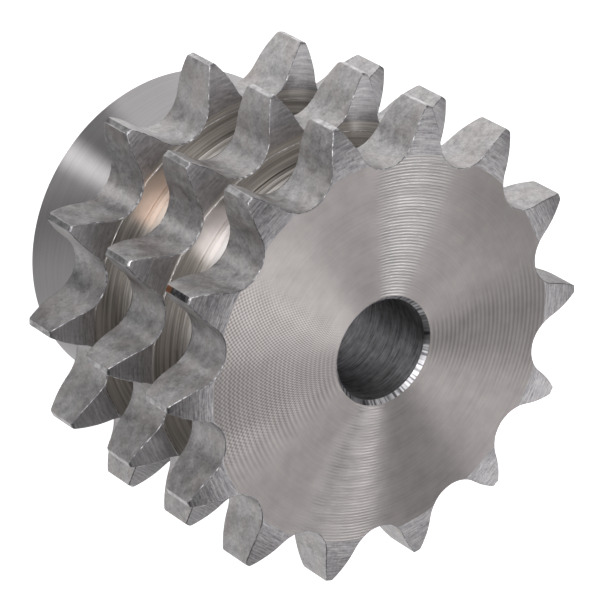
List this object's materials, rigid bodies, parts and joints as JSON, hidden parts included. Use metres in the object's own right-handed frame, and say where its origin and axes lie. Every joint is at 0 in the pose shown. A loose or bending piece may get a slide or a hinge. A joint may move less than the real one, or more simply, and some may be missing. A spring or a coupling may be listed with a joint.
{
  "type": "chain sprocket",
  "caption": "Steel roller chain sprocket with rows of relieved teeth side by side, a plain hub on one side and a plain pilot bore.",
  "frame": {"origin": "middle of the hub's end face, on the bore's axis; the sprocket stands on this face", "axes": "+Z along the bore from the hub's end face to the toothed face; +X through the middle of a tooth gap"},
  "size_m": [0.0918, 0.0938, 0.0706],
  "materials": {
    "turned_steel": "bright unhardened steel, faced and turned, with hobbed tooth gaps"
  },
  "bodies": {
    "root": {"sprocket": "turned_steel"}
  },
  "joints": []
}
